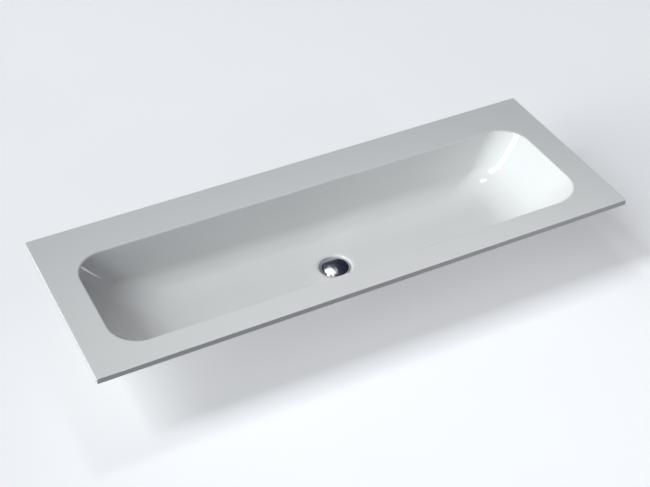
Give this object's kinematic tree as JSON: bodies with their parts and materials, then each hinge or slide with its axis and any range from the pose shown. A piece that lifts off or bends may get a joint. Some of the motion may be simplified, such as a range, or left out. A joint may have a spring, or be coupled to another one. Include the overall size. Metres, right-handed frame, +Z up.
{
  "type": "countertop basin",
  "caption": "Wide slim rectangular washbasin with a long trough bowl and a central push-open domed waste plug.",
  "frame": {"origin": "centre of the slab's underside, which lies on the countertop", "axes": "+X along the basin's width, +Y to the wall behind, +Z up out of the bowl"},
  "size_m": [1.2, 0.445, 0.1965],
  "materials": {
    "white_gloss": "gloss",
    "chrome_trim": "polished",
    "black_rubber": "matte",
    "white_plastic": "satin",
    "yellow_brass": "satin",
    "bright_steel": "satin"
  },
  "bodies": {
    "basin": {"basin": "white_gloss", "waste_body": "chrome_trim", "flange_seal": "black_rubber", "tail_seal": "black_rubber", "slip_washer": "white_plastic", "back_nut": "yellow_brass", "cartridge_housing": "white_plastic", "cartridge_lid": "white_plastic", "latch_spring": "bright_steel", "latch_pin": "bright_steel"},
    "plug": {"latch_plunger": "white_plastic", "bumper_ring": "black_rubber", "plug_stem": "yellow_brass", "lock_nut": "yellow_brass", "plug_cap": "chrome_trim", "plug_seal": "black_rubber"}
  },
  "joints": [
    {"name": "plug_slide", "type": "slide", "parent": "basin", "child": "plug", "axis": [0, 0, 1], "range_m": [0, 0.008], "deforming": ["latch_spring"]}
  ]
}
